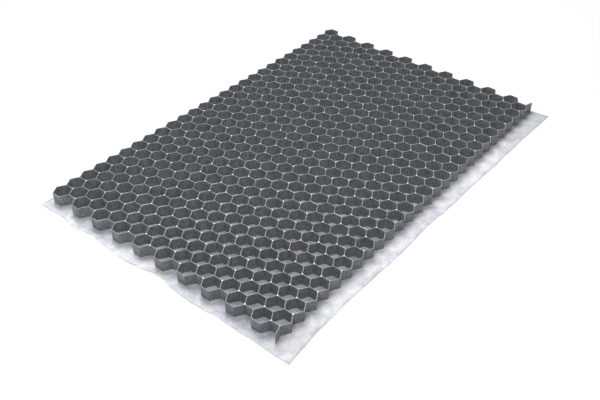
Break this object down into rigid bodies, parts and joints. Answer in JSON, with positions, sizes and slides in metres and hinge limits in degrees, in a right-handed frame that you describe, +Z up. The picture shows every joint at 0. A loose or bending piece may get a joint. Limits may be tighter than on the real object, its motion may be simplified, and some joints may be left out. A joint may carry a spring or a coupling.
{
  "type": "gravel grid panel",
  "caption": "Rectangular honeycomb panel of dark plastic modules on a pale fleece, which holds gravel in open hexagonal cells and keeps it from sinking.",
  "frame": {"origin": "middle of the fleece's underside, at the bottom centre of the bounding box", "axes": "+X along the long side, +Y across the panel towards the side where the fleece is nearly flush, +Z up through the open cells"},
  "size_m": [1.202, 0.8114, 0.032],
  "materials": {
    "grid_plastic": "dark grey moulded polypropylene, satin, with lighter rims and nearly white post tops",
    "fleece": "pale spunbonded polypropylene geotextile, fibrous and matt"
  },
  "bodies": {
    "root": {"grid_module_left": "grid_plastic", "grid_module_middle": "grid_plastic", "grid_module_right": "grid_plastic", "geotextile_fleece": "fleece"}
  },
  "joints": []
}
